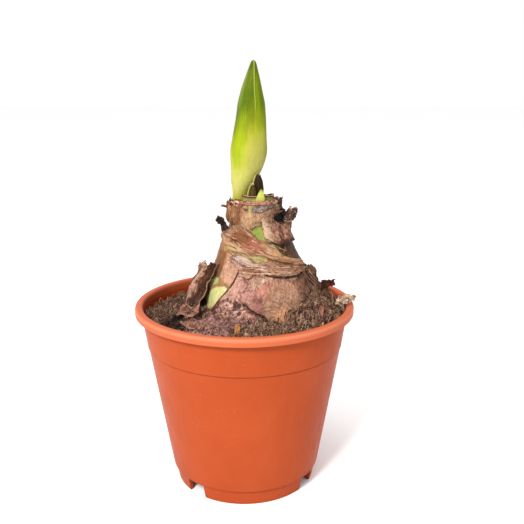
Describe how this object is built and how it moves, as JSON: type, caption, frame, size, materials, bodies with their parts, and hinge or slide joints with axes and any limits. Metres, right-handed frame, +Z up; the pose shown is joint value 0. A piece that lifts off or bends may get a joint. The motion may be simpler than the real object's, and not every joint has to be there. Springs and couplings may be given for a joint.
{
  "type": "potted amaryllis bulb",
  "caption": "Sprouting amaryllis bulb with dry papery scales, a cut neck and a closed flower bud, in a terracotta-coloured plastic nursery pot.",
  "frame": {"origin": "on the pot's axis, at the ground under its foot ring", "axes": "+Z up along the pot's axis, -Y towards the front with the bulb's peeled face, +X to the viewer's right"},
  "size_m": [0.1316, 0.13, 0.2496],
  "materials": {
    "pot_plastic": "satin moulded",
    "potting_soil": "rough and crumbly",
    "bulb_skin": "dry skin over green flesh",
    "scale_pink": "dry papery scale",
    "scale_pale": "dry rough scale",
    "scale_red": "smooth dry scale",
    "neck_tan": "dry cut leaf base",
    "scale_brown": "dry papery scale",
    "collar_green": "fresh leaf base with a dried edge",
    "flap_orange": "curled dry scale",
    "skin_black": "blackened dry skin",
    "scale_dark": "dark dry scale",
    "paper_pale": "pale dried skin",
    "scale_crumpled": "crumpled dry scale",
    "bud_green": "waxy, finely ribbed",
    "young_leaf": "waxy dark leaf, pale edge",
    "shoot_pale": "fresh pale shoot",
    "bark": "raw bark chip"
  },
  "bodies": {
    "root": {"pot": "pot_plastic", "soil": "potting_soil", "bulb": "bulb_skin", "scale_lower_front": "scale_pink", "scale_middle": "scale_pale", "scale_wrap": "scale_red", "neck_ring": "neck_tan", "neck_scale_left": "scale_brown", "inner_collar": "collar_green", "curled_flap_right": "flap_orange", "black_flap_left": "skin_black", "peeling_scale_left": "scale_dark", "torn_scale_right": "scale_dark", "torn_flap_right": "scale_dark", "dried_flap": "paper_pale", "fallen_scale_left": "scale_crumpled", "fallen_scale_front": "scale_crumpled", "flower_bud": "bud_green", "young_leaf_tall": "young_leaf", "young_leaf_short": "young_leaf", "shoot_tip": "shoot_pale", "bark_chip_orange": "bark", "bark_chip_red": "bark"}
  },
  "joints": []
}
